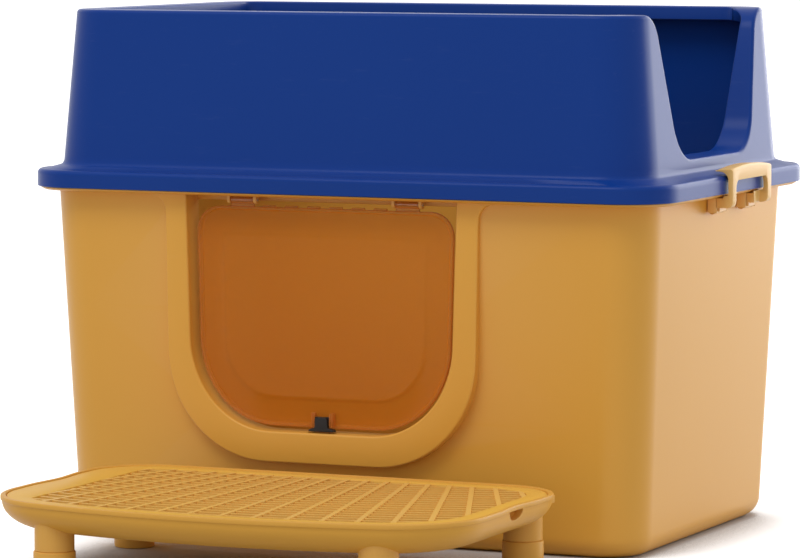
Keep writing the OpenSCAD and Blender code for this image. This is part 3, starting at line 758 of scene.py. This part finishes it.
def tray_bowl():
    """The tray's bowl, with its lip and the ledge that the grid lies on."""
    floor, brow = STEP_TOP - TRAY_D, STEP_TOP - LIP_H
    rings = list(reversed(bowl_rings(1, 33, brow - 0.6, floor, LIP_DIP)))
    rings += [step_ring(inset, STEP_TOP + rise, LIP_DIP) for inset, rise in
              ((0.7, -LIP_H - 0.2), (0.2, -LIP_H + 0.1), (0, -LIP_H + 0.7), (0, -1.2), (0.35, -0.4),
               (1.1, 0), (3.2, 0), (4.0, -0.4), (LIP_T, -1.2))]
    rings += [step_ring(LIP_T, SEAT_Z + 0.2, LIP_DIP), step_ring(LIP_T + 0.2, SEAT_Z, LIP_DIP)]
    rings += bowl_rings(LIP_T + LEDGE_W, 30, SEAT_Z, floor + TRAY_T, LIP_DIP)
    return loft("tray_bowl", rings)


def round_place(foot):
    """A foot's middle as seen from above, its radius and its top."""
    low, high = edges(foot)
    return ((low[0] + high[0]) / 2, (low[1] + high[1]) / 2), (high[0] - low[0]) / 2, high[2]


def leg(foot):
    """A round leg that runs up into the tray, with the spigot that the foot pushes on to."""
    centre, cap_r, seam = round_place(foot)
    r = cap_r - 1
    spigot = r - SPIGOT_LOSS
    profile = [(spigot, seam - 13.6), (spigot, seam), (r - 0.6, seam), (r, seam + 0.6),
               (r, SEAT_Z - 6)]
    return loft("leg", turned_rings("z", centre, profile, ROUND_STEPS))


def make_tray():
    """The tray with its legs, a finger notch at each end and the rests beside its back corners."""
    floor = STEP_TOP - TRAY_D + TRAY_T
    parts = [tray_bowl()]
    for foot in FEET:
        hollow = loft("hollow", [step_ring(LIP_T + LEDGE_W, SEAT_Z + 9)]
                      + bowl_rings(LIP_T + LEDGE_W - 1, 30, SEAT_Z, floor - 1))
        parts.append(cut(leg(foot), hollow))
    for side in (-1, 1):
        x = STEP_X + side * (STEP_HALF - 9)
        hole = [(NOTCH_Y + NOTCH_HALF * a, STEP_TOP - LIP_H - 0.4 + NOTCH_D * b)
                for a, b in arc(0, 0, 1, 180, 360, 20)]
        cut(parts[0], prism("notch", hole, "x", x - 13, x + 13))
        x = STEP_X + side * (STEP_HALF - 12)
        parts.append(soften(block("rest", (x - 4, STEP_BACK - 38, STEP_TOP - LIP_H - 6),
                                  (x + 4, STEP_BACK - 22, STEP_TOP - LIP_H + 0.5)), 0.6))
    return joined("step_tray_bowl", parts)


def make_foot(node):
    """A round foot with a bore for the leg's spigot."""
    centre, r, height = round_place(node)
    bore = r - BORE_LOSS
    profile = [(r - 1.6, 0), (r - 0.5, 0.5), (r, 1.6), (r, height - 1), (r - 0.5, height - 0.25),
               (r - 1.1, height), (bore, height), (bore, height - 14.5)]
    return loft(node + "_cap", turned_rings("z", centre, profile, ROUND_STEPS))


# ---- The grid's ribs and bars, as geometry nodes ----

def node(tree, kind, inputs=None, **settings):
    """Adds a node; an input's value is a number, a colour or another node's socket."""
    made = tree.nodes.new(kind)
    for key, value in settings.items():
        setattr(made, key, value)
    for key, value in (inputs or {}).items():
        if isinstance(value, bpy.types.NodeSocket):
            tree.links.new(value, made.inputs[key])
        else:
            made.inputs[key].default_value = value
    return made


def maths(tree, operation, a, b=0.0):
    return node(tree, "ShaderNodeMath", {0: a, 1: b}, operation=operation).outputs[0]


def times(tree, a, b):
    return maths(tree, "MULTIPLY", a, b)


def plus(tree, a, b):
    return maths(tree, "ADD", a, b)


def geometry_group(name, output, **labels):
    """A group that takes an outline and the inputs listed under the kinds of their sockets."""
    tree = bpy.data.node_groups.new(name, "GeometryNodeTree")
    tree.interface.new_socket("Outline", in_out="INPUT", socket_type="NodeSocketGeometry")
    for kind, names in labels.items():
        for label in names:
            tree.interface.new_socket(label, in_out="INPUT", socket_type="NodeSocket" + kind)
    tree.interface.new_socket(output, in_out="OUTPUT", socket_type="NodeSocketGeometry")
    return tree, tree.nodes.new("NodeGroupInput").outputs


def fan_bars_tree():
    """Bars along or across a fan, kept where they lie over the outline that comes in."""
    tree, given = geometry_group(
        "fan_bars", "Bars", Int=["Turns", "Steps"], Bool=["Across"],
        Float=["Spread", "Near Radius", "Far Radius", "Centre X", "Centre Y", "Bar Width",
               "Bar Height", "Middle Height"])
    net = node(tree, "GeometryNodeMeshGrid", {
        "Size X": 1.0, "Size Y": 1.0, "Vertices X": given["Turns"], "Vertices Y": given["Steps"]})
    position = tree.nodes.new("GeometryNodeInputPosition").outputs[0]
    place = node(tree, "ShaderNodeSeparateXYZ", {0: position}).outputs
    turn = times(tree, place[0], given["Spread"])
    reach = maths(tree, "SUBTRACT", given["Far Radius"], given["Near Radius"])
    radius = plus(tree, given["Near Radius"], times(tree, reach, plus(tree, place[1], 0.5)))
    x = plus(tree, given["Centre X"], times(tree, radius, maths(tree, "SINE", turn)))
    y = maths(tree, "SUBTRACT", given["Centre Y"], times(tree, radius, maths(tree, "COSINE", turn)))
    ends = tree.nodes.new("GeometryNodeInputMeshEdgeVertices").outputs
    stride = maths(tree, "ABSOLUTE", maths(tree, "SUBTRACT", ends[0], ends[1]))
    along = node(tree, "FunctionNodeCompare", {"A": stride, "B": 1.5}, operation="LESS_THAN",
                 data_type="FLOAT").outputs[0]
    unwanted = node(tree, "FunctionNodeBooleanMath", {0: along, 1: given["Across"]},
                    operation="XNOR").outputs[0]
    lines = node(tree, "GeometryNodeDeleteGeometry", {
        "Geometry": net.outputs["Mesh"], "Selection": unwanted}, domain="EDGE")
    spot = node(tree, "ShaderNodeCombineXYZ", {0: x, 1: y, 2: given["Middle Height"]})
    fan = node(tree, "GeometryNodeSetPosition", {
        "Geometry": lines.outputs[0], "Position": spot.outputs[0]})
    ray = node(tree, "GeometryNodeRaycast", {
        "Target Geometry": given["Outline"], "Ray Direction": (0.0, 0.0, -1.0), "Ray Length": 1.0})
    outside = node(tree, "FunctionNodeBooleanMath", {0: ray.outputs["Is Hit"]}, operation="NOT")
    kept = node(tree, "GeometryNodeDeleteGeometry", {
        "Geometry": fan.outputs[0], "Selection": outside.outputs[0]}, domain="POINT")
    curves = node(tree, "GeometryNodeMeshToCurve", {"Mesh": kept.outputs[0]})
    level = node(tree, "GeometryNodeSetCurveNormal", {"Curve": curves.outputs[0]}, mode="Z_UP")
    section = node(tree, "GeometryNodeCurvePrimitiveQuadrilateral", {
        "Width": given["Bar Width"], "Height": given["Bar Height"]})
    bars = node(tree, "GeometryNodeCurveToMesh", {
        "Curve": level.outputs[0], "Profile Curve": section.outputs[0], "Fill Caps": True})
    node(tree, "NodeGroupOutput", {"Bars": bars.outputs[0]})
    return tree


def grid_tree(finish):
    """The whole fan: ribs from the fan's centre and cross bars round it."""
    bars = fan_bars_tree()
    tree, given = geometry_group(
        "fan_grid", "Grid", Int=["Rib Count", "Bar Count"],
        Float=["Rib Spread", "Rib Width", "Bar Near", "Bar Far", "Bar Width", "Centre X",
               "Centre Y", "Grid Low", "Grid High"])

    def layer(drop, turns, steps, across, width):
        """The ribs or the cross bars, with their tops that far under the grid's."""
        top = maths(tree, "SUBTRACT", given["Grid High"], drop * MM)
        return node(tree, "GeometryNodeGroup", {
            "Turns": turns, "Steps": steps, "Across": across, "Bar Width": width,
            "Middle Height": times(tree, plus(tree, top, given["Grid Low"]), 0.5),
            "Bar Height": maths(tree, "SUBTRACT", top, given["Grid Low"]),
            "Spread": given["Rib Spread"], "Near Radius": given["Bar Near"],
            "Far Radius": given["Bar Far"], "Outline": given["Outline"],
            "Centre X": given["Centre X"], "Centre Y": given["Centre Y"]},
                    node_tree=bars).outputs[0]

    both = tree.nodes.new("GeometryNodeJoinGeometry")
    for made in (layer(0.2, given["Rib Count"], 140, False, given["Rib Width"]),
                 layer(0.7, 260, given["Bar Count"], True, given["Bar Width"])):
        tree.links.new(made, both.inputs[0])
    real = node(tree, "GeometryNodeRealizeInstances", {0: both.outputs[0]})
    dressed = node(tree, "GeometryNodeSetMaterial", {
        "Geometry": real.outputs[0], "Material": finish})
    node(tree, "NodeGroupOutput", {"Grid": dressed.outputs[0]})
    return tree


def fan_ribs(finish):
    """Ribs and cross bars inside the grid's border."""
    mesh = bmesh.new()
    outer = LIP_T + GRID_PLAY
    mesh.faces.new([mesh.verts.new((x * MM, y * MM, z * MM)) for x, y, z in
                    step_ring(outer + BORDER - 4, SEAT_Z - 3, band=outer + BAND - 4)])
    bmesh.ops.triangulate(mesh, faces=mesh.faces)
    ribs = piece_from("fan_ribs", mesh)
    widest = math.degrees(math.atan2(STEP_HALF + STEP_X - RIB_X, RIB_Y - STEP_BACK))
    count = 2 * int(widest / RIB_ANGLE) + 2
    values = {"Rib Count": count, "Rib Spread": math.radians(RIB_ANGLE * (count - 1)),
              "Rib Width": RIB_W * MM, "Bar Count": BAR_ROWS + 1,
              "Bar Near": (RIB_R - BAR_ROWS * BAR_PITCH) * MM, "Bar Far": RIB_R * MM,
              "Bar Width": BAR_W * MM, "Centre X": RIB_X * MM,
              "Centre Y": RIB_Y * MM, "Grid Low": GRID_LOW[2] * MM, "Grid High": GRID_HIGH[2] * MM}
    step = ribs.modifiers.new("fan", "NODES")
    step.node_group = grid_tree(finish)
    for item in step.node_group.interface.items_tree:
        if item.in_out == "INPUT" and item.name in values:
            step[item.identifier] = values[item.name]
    settle(ribs)
    mesh = bmesh.new()
    mesh.from_mesh(ribs.data)
    bmesh.ops.recalc_face_normals(mesh, faces=mesh.faces)
    mesh.to_mesh(ribs.data)
    mesh.free()
    return ribs


def make_grid(finish):
    """The lift-out grid: a border that follows the step's outline, and the fan inside it."""
    low, high = GRID_LOW[2], GRID_HIGH[2]
    outer = LIP_T + GRID_PLAY
    inner = outer + BORDER
    section = [(outer, low), (outer, high - 0.8), (outer + 0.25, high - 0.25), (outer + 0.8, high),
               (inner - 0.8, high), (inner - 0.25, high - 0.2), (inner, high - 0.7), (inner, low)]
    border = loft("border", [step_ring(inset, z, LIP_DIP if inset < inner - 1 else 0,
                                       inset + BAND - BORDER if inset > inner - 1 else None)
                             for inset, z in section], loop=True)
    return joined("step_grid_fan", [border, fan_ribs(finish)])


# ---- Finishes ----

def shader_group(name, inputs, outputs):
    tree = bpy.data.node_groups.new(name, "ShaderNodeTree")
    for label, value in inputs:
        socket = tree.interface.new_socket(label, in_out="INPUT", socket_type="NodeSocketFloat")
        socket.default_value = value
    for label in outputs:
        tree.interface.new_socket(label, in_out="OUTPUT", socket_type="NodeSocketFloat")
    return tree, tree.nodes.new("NodeGroupInput").outputs


def ramp(tree, value, low, high, top=1.0):
    """Nought where the value is low, rising to top where it is high."""
    return node(tree, "ShaderNodeMapRange", {
        "Value": value, "From Min": low, "From Max": high, "To Max": top}).outputs[0]


def noise(tree, place, scale, detail, roughness):
    return node(tree, "ShaderNodeTexNoise", {
        "Vector": place, "Scale": scale, "Detail": detail, "Roughness": roughness}).outputs["Fac"]


def grain_group():
    """Fine spark-eroded grain of a mould, and the slow drift of tone over a large moulding."""
    tree, given = shader_group("moulded_grain", [("Grain Scale", 900.0), ("Drift Scale", 3.0)],
                               ["Grain", "Drift"])
    place = tree.nodes.new("ShaderNodeTexCoord").outputs["Object"]
    fine = noise(tree, place, given["Grain Scale"], 3.0, 0.6)
    slow = noise(tree, place, given["Drift Scale"], 2.0, 0.5)
    node(tree, "NodeGroupOutput", {"Grain": fine, "Drift": ramp(tree, slow, 0.3, 0.7)})
    return tree


def wear_and_edge_highlight_group():
    """Rubbed edges, paled partly as wear and partly as a painted highlight along them, faint scuffs
    and the dust that settles on level faces.
    """
    tree, given = shader_group("handling_wear_and_edge_highlight", [("Scuff Scale", 30.0), ("Dust Scale", 12.0)],
                               ["Edge", "Scuff", "Dust"])
    place = tree.nodes.new("ShaderNodeTexCoord").outputs["Object"]
    shape = tree.nodes.new("ShaderNodeNewGeometry").outputs
    # The edge mask pales convex edges, partly as rubbed wear and partly as a painted highlight.
    edge = ramp(tree, shape["Pointiness"], 0.52, 0.62)
    drawn_out = node(tree, "ShaderNodeMapping", {
        "Vector": place, "Rotation": (0.3, 0.2, 0.5), "Scale": (1.0, 5.0, 9.0)}).outputs[0]
    streak = noise(tree, drawn_out, given["Scuff Scale"], 4.0, 0.65)
    cloud = noise(tree, place, given["Dust Scale"], 5.0, 0.6)
    facing = node(tree, "ShaderNodeSeparateXYZ", {0: shape["Normal"]}).outputs[2]
    dust = times(tree, ramp(tree, facing, 0.6, 1.0), ramp(tree, cloud, 0.4, 0.75))
    node(tree, "NodeGroupOutput", {
        "Edge": edge, "Dust": dust, "Scuff": ramp(tree, streak, 0.62, 0.78)})
    return tree


def mixed(tree, factor, a, b):
    mix = node(tree, "ShaderNodeMix", {0: factor, 6: a, 7: b}, data_type="RGBA")
    return mix.outputs[2]


def blank_material(name):
    material = bpy.data.materials.new(name)
    material.use_nodes = True
    material.node_tree.nodes.clear()
    return material, material.node_tree


def placed_group(tree, group):
    """The outputs of a shared effect, placed in a material."""
    made = tree.nodes.new("ShaderNodeGroup")
    made.node_tree = group
    return made.outputs


def finish_surface(tree, grain, strength, depth, looks):
    """A Principled surface with its grain, put to the material's output."""
    bump = node(tree, "ShaderNodeBump", {
        "Strength": strength, "Distance": depth * MM, "Height": grain})
    shader = node(tree, "ShaderNodeBsdfPrincipled", {**looks, "Normal": bump.outputs[0]})
    node(tree, "ShaderNodeOutputMaterial", {0: shader.outputs[0]})


def plastic(name, colour, shade_colour, roughness, gloss, grain=0.05, alpha=None, edge_wear_and_highlight=0.25):
    """A moulded plastic with grain, drift of tone, rubbed edges with a painted highlight, scuffs
    and dust.
    """
    material, tree = blank_material(name)
    surface, wear_and_edge_highlight = placed_group(tree, GRAIN), placed_group(tree, WEAR_AND_EDGE_HIGHLIGHT)
    pale = tuple(min(1.0, c * 0.75 + 0.25) for c in colour[:3]) + (1.0,)
    dusty = (0.62, 0.58, 0.52, 1.0)
    tone = mixed(tree, times(tree, surface["Drift"], 0.55), colour, shade_colour)
    # Convex edges are paled: partly rubbed wear, partly a painted highlight along the edges.
    tone = mixed(tree, times(tree, wear_and_edge_highlight["Edge"], edge_wear_and_highlight), tone, pale)
    tone = mixed(tree, times(tree, wear_and_edge_highlight["Scuff"], 0.05), tone, pale)
    tone = mixed(tree, times(tree, wear_and_edge_highlight["Dust"], 0.05), tone, dusty)
    rough = plus(tree, roughness, times(tree, wear_and_edge_highlight["Scuff"], 0.12))
    rough = plus(tree, rough, times(tree, surface["Grain"], 0.06))
    looks = {"Base Color": tone, "Roughness": rough, "Specular IOR Level": gloss}
    if alpha is not None:
        rim = node(tree, "ShaderNodeLayerWeight", {"Blend": 0.5}).outputs["Facing"]
        looks["Alpha"] = plus(tree, alpha, times(tree, rim, 0.3))
    finish_surface(tree, surface["Grain"], grain, 0.4, looks)
    return material


def drawn_steel(name):
    """Drawn wire: a faintly grained, dull polish with darker scuffs."""
    material, tree = blank_material(name)
    surface, wear_and_edge_highlight = placed_group(tree, GRAIN), placed_group(tree, WEAR_AND_EDGE_HIGHLIGHT)
    tone = mixed(tree, wear_and_edge_highlight["Scuff"], (0.62, 0.62, 0.64, 1), (0.42, 0.40, 0.38, 1))
    rough = plus(tree, 0.28, times(tree, surface["Grain"], 0.15))
    finish_surface(tree, surface["Grain"], 0.1, 0.2,
                   {"Base Color": tone, "Metallic": 1.0, "Roughness": rough})
    return material


GRAIN = grain_group()
WEAR_AND_EDGE_HIGHLIGHT = wear_and_edge_highlight_group()
TUB_YELLOW = plastic("tub_yellow", (0.82, 0.415, 0.060, 1), (0.78, 0.385, 0.052, 1), 0.36, 0.36)
STEP_YELLOW = plastic("step_yellow", (0.80, 0.41, 0.060, 1), (0.76, 0.38, 0.052, 1), 0.40, 0.2)
# The grid's yellow is the step's yellow made paler: painted light on the grid's lit top.
GRID_YELLOW_PAINTED_LIGHT = plastic("grid_yellow_painted_light", (0.89, 0.51, 0.075, 1), (0.87, 0.48, 0.067, 1), 0.42, 0.12)
LATCH_YELLOW = plastic("latch_yellow", (0.92, 0.56, 0.17, 1), (0.89, 0.52, 0.15, 1), 0.34, 0.4)
HOOD_BLUE = plastic("hood_blue", (0.004, 0.045, 0.28, 1), (0.003, 0.040, 0.26, 1), 0.27, 0.14,
                    edge_wear_and_highlight=0.06)
# The flap's orange-brown is painted shade: it stands for the shaded tub inside, seen through the
# clear sheet.
FLAP_CLEAR_WITH_PAINTED_SHADE = plastic("flap_clear", (0.78, 0.25, 0.02, 1), (0.73, 0.22, 0.015, 1), 0.12, 0.12,
                     grain=0.0, alpha=0.40)
LOCK_BLACK = plastic("lock_black", (0.020, 0.016, 0.014, 1), (0.015, 0.012, 0.011, 1), 0.34, 0.25,
                     grain=0.12, edge_wear_and_highlight=0.04)
PIN_STEEL = drawn_steel("pin_steel")


# ---- Putting it together ----

def dress(piece, material, body, slot, *nodes):
    """Gives a finished piece its material, its body and the nodes it stands for; slot is not used.
    """
    shade(piece)
    piece.data.materials.clear()
    piece.data.materials.append(material)
    piece.data.polygons.foreach_set("material_index", [0] * len(piece.data.polygons))
    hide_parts(*nodes)
    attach(piece, body)


dress(make_hood(), HOOD_BLUE, "hood", "hood_blue", "hood")
dress(make_tub(), TUB_YELLOW, "tub", "tub_yellow", "tub")
dress(make_flap(), FLAP_CLEAR_WITH_PAINTED_SHADE, "flap", "flap_clear", "door_flap")
dress(make_lock(), LOCK_BLACK, "lock", "lock_black", "lock_slider")
right = make_latch()
dress(mirrored("latch_left_clip", right), LATCH_YELLOW, "latch_left", "latch_yellow", "latch_left")
dress(right, LATCH_YELLOW, "latch_right", "latch_yellow", "latch_right")
dress(make_tray(), STEP_YELLOW, "step", "step_yellow", "step_tray")
dress(make_grid(GRID_YELLOW_PAINTED_LIGHT), GRID_YELLOW_PAINTED_LIGHT, "grid", "step_yellow", "step_grid")
for foot_node in FEET:
    dress(make_foot(foot_node), STEP_YELLOW, "step", "step_yellow", foot_node)
for pin_node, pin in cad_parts.items():
    if "_pin_" in pin_node:
        for place in pin.material_slots:
            place.link = "OBJECT"
            place.material = PIN_STEEL


# ---- Camera, floor and light ----

WHITE = (1, 1, 1, 1)


def make_camera():
    """A long lens a little above the object, from front right."""
    heading, tilt, roll = math.radians(23.933), math.radians(4.919), math.radians(0.024)
    ahead = Vector((-math.sin(heading) * math.cos(tilt), math.cos(heading) * math.cos(tilt),
                    -math.sin(tilt)))
    right_of = Vector((math.cos(heading), math.sin(heading), 0))
    above = right_of.cross(ahead)
    across = right_of * math.cos(roll) + above * math.sin(roll)
    upward = above * math.cos(roll) - right_of * math.sin(roll)
    data = bpy.data.cameras.new("camera")
    data.lens = 201.12
    data.sensor_width = 36
    data.clip_end = 200
    camera = bpy.data.objects.new("camera", data)
    place = Vector((1.59708, -3.64713, 0.55871))
    camera.matrix_world = Matrix((
        (across.x, upward.x, -ahead.x, place.x), (across.y, upward.y, -ahead.y, place.y),
        (across.z, upward.z, -ahead.z, place.z), (0, 0, 0, 1)))
    bpy.context.scene.collection.objects.link(camera)
    bpy.context.scene.camera = camera


def soft_panel(name, place, target, width, height, watts):
    """A rectangular white lamp that faces its target; places and sizes in metres."""
    data = bpy.data.lights.new(name, "AREA")
    data.shape = "RECTANGLE"
    data.size = width
    data.size_y = height
    data.energy = watts
    lamp = bpy.data.objects.new(name, data)
    lamp.location = place
    lamp.rotation_euler = (Vector(target) - Vector(place)).to_track_quat("-Z", "Y").to_euler()
    bpy.context.scene.collection.objects.link(lamp)


def seen_directly(tree):
    """One for camera, glossy and transmitted rays, and nought for light that falls on things."""
    path = tree.nodes.new("ShaderNodeLightPath").outputs
    direct = maths(tree, "MAXIMUM", path["Is Camera Ray"], path["Is Glossy Ray"])
    return maths(tree, "MAXIMUM", direct, path["Is Transmission Ray"])


def make_world():
    """Even, plain light all round, which is white where it is seen directly."""
    world = bpy.data.worlds.new("studio")
    world.use_nodes = True
    tree = world.node_tree
    tree.nodes.clear()
    fill = node(tree, "ShaderNodeBackground", {"Color": WHITE, "Strength": 0.60})
    white = node(tree, "ShaderNodeBackground", {"Color": WHITE, "Strength": 1.0})
    both = node(tree, "ShaderNodeMixShader", {0: seen_directly(tree), 1: fill.outputs[0],
                                              2: white.outputs[0]})
    node(tree, "ShaderNodeOutputWorld", {0: both.outputs[0]})
    bpy.context.scene.world = world


def make_floor():
    """A plain pale floor that shows white; near things its glow fades out, so the real shadow shows
    there, deepened by painted shade.
    """
    half, shade_reach, shade_from, shade_to, lift = 30, 0.13, 0.46, 0.78, 0.95
    mesh = bpy.data.meshes.new("floor")
    mesh.from_pydata([(-half, -half, 0), (half, -half, 0), (half, half, 0), (-half, half, 0)], [],
                     [(0, 1, 2, 3)])
    floor = bpy.data.objects.new("floor", mesh)
    bpy.context.scene.collection.objects.link(floor)
    material, tree = blank_material("pale_floor")
    matt = node(tree, "ShaderNodeBsdfDiffuse", {"Color": (0.56, 0.55, 0.55, 1)})
    # Ambient occlusion takes the glow away near things, which paints shade on the floor under and
    # beside them.
    open_sky = node(tree, "ShaderNodeAmbientOcclusion", {"Distance": shade_reach}, samples=8)
    clear = ramp(tree, open_sky.outputs["AO"], shade_from, shade_to, lift)
    glow = node(tree, "ShaderNodeEmission", {"Color": WHITE, "Strength": clear})
    lifted = node(tree, "ShaderNodeAddShader", {0: matt.outputs[0], 1: glow.outputs[0]})
    both = node(tree, "ShaderNodeMixShader", {0: seen_directly(tree), 1: matt.outputs[0],
                                              2: lifted.outputs[0]})
    node(tree, "ShaderNodeOutputMaterial", {0: both.outputs[0]})
    mesh.materials.append(material)


make_camera()
make_world()
make_floor()
soft_panel("back_right_panel", (1.9, 3.6, 1.2), (0.1, 0, 0.25), 4.2, 2.4, 90)
soft_panel("front_panel", (-0.5, -2.4, 3.4), (0, -0.2, 0.2), 2.4, 1.6, 45)
bpy.context.scene.view_settings.view_transform = "Standard"
